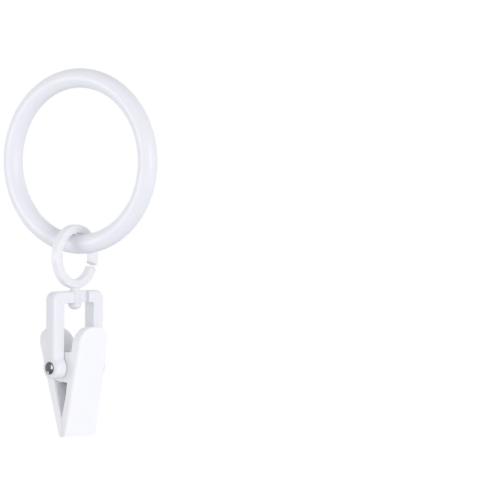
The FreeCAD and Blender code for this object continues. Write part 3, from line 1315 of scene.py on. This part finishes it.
@dataclass
class TorsionSpring(Piece):
    """The torsion spring: a wire coil round the rivet with a leg behind each lever.

    Attributes:
        wire: the radius of the wire.
        coil: from the rivet's axis to the middle of the wire.
        pitch: the distance between two turns.
        whole_turns: the whole turns; the legs' splay adds a part turn.
        leg: the length of a leg.
        splay: how far a leg leans from the upright.
        wire_sides: faces round the wire.
        steps_per_turn: faces round one turn.
    """

    wire: float = 0.35
    coil: float = 1.85
    pitch: float = 0.8
    whole_turns: int = 4
    leg: float = 5.0
    splay: float = math.radians(24.82)
    wire_sides: int = 14
    steps_per_turn: int = 36

    @property
    def turns(self) -> float:
        """Gives the number of turns with the part turn between the legs."""
        return self.whole_turns + (math.pi - 2 * self.splay) / math.tau

    @property
    def length(self) -> float:
        """Gives the length of the coil along the rivet."""
        return self.turns * self.pitch

    def draw_leg(
        self, spring: bpy.types.Object, centre: Vector, angle: float, onward: int
    ) -> None:
        """Draws a leg out of one open end of the coil and closes its tip.

        Args:
            spring: the coil.
            centre: the middle of the wire at that end.
            angle: where the coil ends, round the rivet.
            onward: 1 where the winding runs into the leg, -1 where it starts from it.
        """
        rise = -self.pitch / math.tau
        tangent = Vector((rise, -self.coil * math.sin(angle), self.coil * math.cos(angle)))
        way = tangent.normalized() * self.leg * onward

        def at_end(edge: bmesh.types.BMEdge) -> bool:
            """Tells the open edges round one end of the wire."""
            reach = self.wire + NEAR
            return edge.is_boundary and all((v.co - centre).length < reach for v in edge.verts)

        with editing(spring, Element.EDGES):
            select(spring, Element.EDGES, at_end)
            bpy.ops.mesh.extrude_edges_move(TRANSFORM_OT_translate={"value": way})
            bpy.ops.mesh.edge_face_add()

    def model(self) -> bpy.types.Object:
        """Winds the wire's section round the rivet and draws out the legs.

        Returns:
            The spring about the middle of the rivet.
        """
        deselect_all()
        start = math.pi + self.splay
        end = start + self.turns * math.tau
        half = self.length / 2
        first = Vector((half, self.coil * math.cos(start), self.coil * math.sin(start)))
        last = Vector((-half, self.coil * math.cos(end), self.coil * math.sin(end)))
        bpy.ops.mesh.primitive_circle_add(
            vertices=self.wire_sides, radius=self.wire, location=first, rotation=(start, 0, 0)
        )
        spring = bpy.context.object
        spring.name = "spring_wire"
        apply_place(spring)
        winding = spring.modifiers.new("winding", "SCREW")
        winding.axis = "X"
        winding.angle = self.turns * math.tau
        winding.screw_offset = -self.length
        winding.steps = winding.render_steps = round(self.steps_per_turn * self.turns)
        winding.use_merge_vertices = False
        bpy.ops.object.modifier_apply(modifier=winding.name)
        self.draw_leg(spring, first, start, -1)
        self.draw_leg(spring, last, end, 1)
        return tidy_normals(spring)


# Studio


@dataclass(frozen=True)
class Softbox:
    """A flat, evenly bright lamp that faces the object.

    Attributes:
        name: the lamp's name.
        azimuth: where it stands, from -Y towards +X, in degrees.
        elevation: how high it stands, in degrees.
        distance: from the object's middle, in metres.
        width: its width in metres.
        height: its height in metres.
        share: how bright it makes a white surface that faces it.
        reach: the pieces that it lights.
    """

    name: str
    azimuth: float
    elevation: float
    distance: float
    width: float
    height: float
    share: float
    reach: Reach = Reach.ALL

    def build(self, target: Vector, lit: dict[Reach, bpy.types.Collection]) -> None:
        """Adds the lamp.

        Args:
            target: the point that it is turned to.
            lit: the pieces that a lamp of limited reach lights.
        """
        az, el = math.radians(self.azimuth), math.radians(self.elevation)
        way = Vector((math.sin(az) * math.cos(el), -math.cos(az) * math.cos(el), math.sin(el)))
        data = bpy.data.lights.new(self.name, "AREA")
        data.shape = "RECTANGLE"
        data.size, data.size_y = self.width, self.height
        data.energy = self.share * (math.pi * self.distance) ** 2
        lamp = bpy.data.objects.new(self.name, data)
        lamp.location = target + way * self.distance
        lamp.rotation_euler = way.to_track_quat("Z", "Y").to_euler()
        if self.reach in lit:
            lamp.light_linking.receiver_collection = lit[self.reach]
        bpy.context.scene.collection.objects.link(lamp)


@dataclass
class Studio:
    """The pale floor, the soft light and the camera.

    Attributes:
        azimuth: the camera's direction from the ring, from -Y towards +X, in degrees.
        distance: the camera's distance from the ring's axis, in metres.
        rise: the camera's height over the ring's centre, in metres.
        yaw: how far the view is turned to the right of the ring, in degrees.
        pitch: how far the view is raised, in degrees.
        roll: how far the view is rolled, in degrees.
        focal_pixels: the focal length in pixels of the frame.
        nearest: the nearest that the camera sees, in metres.
        farthest: the farthest that it sees, in metres.
        floor_level: the floor's height, in metres.
        floor_radius: the floor's radius, in metres.
        floor_sides: the floor's number of sides.
        floor_colour: the floor's colour.
        fibres_per_metre: how fine the floor's fibres are.
        fibre_height: how high they stand, in metres.
        fibre_relief: how strongly they show.
        floor_roughness: how dull the floor is.
        fade_start: how far from the middle the floor starts to fade to white, in metres.
        fade_end: how far from it the floor is white, in metres.
        light_colour: the colour of the world's light.
        ambient: how bright the world lights the object.
        target: the point that the lamps face, in metres.
        lamps: the softboxes.
    """

    azimuth: float = 36.0777
    distance: float = 0.8
    rise: float = 0.0067868
    yaw: float = 3.1736
    pitch: float = -2.1189
    roll: float = 0.3349
    focal_pixels: float = 3084.2
    nearest: float = 0.01
    farthest: float = 50.0
    floor_level: float = -0.2
    floor_radius: float = 6.0
    floor_sides: int = 96
    floor_colour: str = "#FCFCFD"
    fibres_per_metre: float = 900.0
    fibre_height: float = 0.00005
    fibre_relief: float = 0.3
    floor_roughness: float = 0.9
    fade_start: float = 0.3
    fade_end: float = 0.9
    light_colour: str = "#F8F9FE"
    ambient: float = 0.69
    target: Vector = field(default_factory=lambda: Vector((0, 0, -0.025)))
    # The key lights every piece. The others have a limited reach, because with one set of lamps
    # the tones of ring, arms, jaws and rivet didn't all come near the photograph's.
    lamps: tuple[Softbox, ...] = (
        Softbox("key_right", 73, 3, 1.2, 0.6, 0.4, 0.315),
        Softbox("left_fill", -44, 0, 1.2, 0.3, 0.4, 0.135, Reach.PLASTIC),
        Softbox("loops_fill", -30, 0, 1.2, 0.24, 0.4, 0.145, Reach.LOOPS),
        Softbox("rivet_strip", -31, 4, 0.7, 0.17, 0.34, 0.2, Reach.METAL),
        Softbox("rivet_kicker", -72, -26, 0.25, 0.04, 0.035, 0.04, Reach.METAL),
    )

    def add_camera(self) -> None:
        """Adds the camera at the photograph's viewing angle."""
        stand = math.radians(self.azimuth)
        facing = math.radians(self.azimuth - self.yaw)
        pitch, roll = math.radians(self.pitch), math.radians(self.roll)
        level = Vector((-math.sin(facing), math.cos(facing), 0))
        forward = level * math.cos(pitch) + UP * math.sin(pitch)
        flat = Vector((math.cos(facing), math.sin(facing), 0))
        steep = flat.cross(forward)
        right = flat * math.cos(roll) + steep * math.sin(roll)
        up = steep * math.cos(roll) - flat * math.sin(roll)
        data = bpy.data.cameras.new("camera")
        data.sensor_fit = "HORIZONTAL"
        data.sensor_width = SENSOR_MM
        data.lens = self.focal_pixels / FRAME_PIXELS * SENSOR_MM
        data.clip_start, data.clip_end = self.nearest, self.farthest
        camera = bpy.data.objects.new("camera", data)
        turn = Matrix((right, up, -forward)).transposed()
        spot = Vector((math.sin(stand), -math.cos(stand), 0)) * self.distance + UP * self.rise
        camera.matrix_world = Matrix.Translation(spot) @ turn.to_4x4()
        bpy.context.scene.collection.objects.link(camera)
        bpy.context.scene.camera = camera

    def add_world(self) -> None:
        """Lights the object evenly, and shows white to the camera and in reflections."""
        world = bpy.data.worlds.new("studio")
        world.use_nodes = True
        tree = world.node_tree
        tree.nodes.clear()
        seen = tell_rays(tree, "Is Camera Ray", "Is Glossy Ray", "Is Transmission Ray")
        shades = [(linear(self.light_colour), self.ambient), (WHITE, 1.0)]
        light, white = (
            add_node(tree, "ShaderNodeBackground", {"Color": colour, "Strength": strength})
            for colour, strength in shades
        )
        mixed = add_node(
            tree, "ShaderNodeMixShader", {0: seen, 1: light.outputs[0], 2: white.outputs[0]}
        )
        add_node(tree, "ShaderNodeOutputWorld", {"Surface": mixed.outputs[0]})
        bpy.context.scene.world = world

    def add_floor(self) -> None:
        """Adds a pale floor that keeps the shadow near the object and fades to white far off."""
        material, tree, output = new_tree("paper_floor")
        place = add_node(tree, "ShaderNodeTexCoord").outputs["Object"]
        far = add_node(tree, "ShaderNodeVectorMath", {0: place}, operation="LENGTH")
        fibres = add_node(
            tree, "ShaderNodeTexNoise", {"Vector": place, "Scale": self.fibres_per_metre}
        )
        fade = add_node(
            tree,
            "ShaderNodeMapRange",
            {"Value": far.outputs["Value"], "From Min": self.fade_start, "From Max": self.fade_end},
            interpolation_type="SMOOTHSTEP",
        )
        seen = tell_rays(tree, "Is Camera Ray", "Is Glossy Ray")
        faded = {0: fade.outputs["Result"], 1: seen}
        share = add_node(tree, "ShaderNodeMath", faded, operation="MULTIPLY")
        bump = add_node(
            tree,
            "ShaderNodeBump",
            {
                "Height": fibres.outputs["Fac"],
                "Distance": self.fibre_height,
                "Strength": self.fibre_relief,
            },
        )
        paper = add_node(
            tree,
            "ShaderNodeBsdfPrincipled",
            {
                "Base Color": linear(self.floor_colour),
                "Roughness": self.floor_roughness,
                "Normal": bump.outputs["Normal"],
            },
        )
        glow = add_node(tree, "ShaderNodeEmission", {"Color": WHITE, "Strength": 1.0})
        mixed = add_node(
            tree,
            "ShaderNodeMixShader",
            {0: share.outputs[0], 1: paper.outputs[0], 2: glow.outputs[0]},
        )
        tree.links.new(mixed.outputs[0], output.inputs["Surface"])
        deselect_all()
        bpy.ops.mesh.primitive_circle_add(
            vertices=self.floor_sides,
            radius=self.floor_radius,
            fill_type="NGON",
            location=(0, 0, self.floor_level),
        )
        floor = bpy.context.object
        floor.name = "floor"
        floor.data.materials.append(material)

    def build(self, pieces: dict[Reach, list[bpy.types.Object]]) -> None:
        """Sets up camera, world, lamps and floor.

        Args:
            pieces: the pieces that each lamp of limited reach lights.
        """
        self.add_camera()
        self.add_world()
        lit = {}
        for reach, members in pieces.items():
            lit[reach] = bpy.data.collections.new(f"lit_{reach.value}")
            for piece in members:
                lit[reach].objects.link(piece)
        for lamp in self.lamps:
            lamp.build(self.target, lit)
        self.add_floor()
        bpy.context.scene.view_settings.view_transform = "Standard"
        log.info("studio: camera, world, %d lamps and floor", len(self.lamps))


def main() -> None:
    """Builds every piece round the frame, then the studio, and notes the sizes."""
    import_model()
    hanging = Hanging()

    ring = CurtainRing().build(Matrix.Identity(4), RING_PLASTIC.build())
    enlist(ring, "ring", "ring")
    eyelet = Eyelet().build(hanging.eyelet(), EYELET_PLASTIC.build())
    enlist(eyelet, "eyelet", "eyelet")
    bail = Bail().build(hanging.bail(), BAIL_PLASTIC.build())
    enlist(bail, "bail", "bail")
    rivet = Rivet().build(hanging.bail(), RIVET_STEEL.build())
    enlist(rivet, "rivet", "bail")

    jaw_plastic = JAW_PLASTIC.build()
    front_jaw = Jaw(Side.FRONT, ear_face=5.0).build(hanging.jaws(), jaw_plastic)
    enlist(front_jaw, "front_jaw", "front_jaw")
    back_jaw = Jaw(Side.BACK, ear_face=3.7).build(hanging.jaws(), jaw_plastic)
    enlist(back_jaw, "back_jaw", "back_jaw")

    winding = TorsionSpring()
    spring = winding.build(hanging.jaws(), SPRING_STEEL.build())
    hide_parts("spring")
    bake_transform(spring)
    faces = len(spring.data.polygons)
    log.info("%s: %d faces, bends from back_jaw to front_jaw", spring.name, faces)

    loops = [ring, eyelet]
    plastic = loops + [bail, front_jaw, back_jaw]
    Studio().build({Reach.METAL: [rivet, spring], Reach.PLASTIC: plastic, Reach.LOOPS: loops})


if __name__ == "__main__":
    logging.basicConfig(level=logging.INFO, format="%(name)s: %(message)s")
    main()
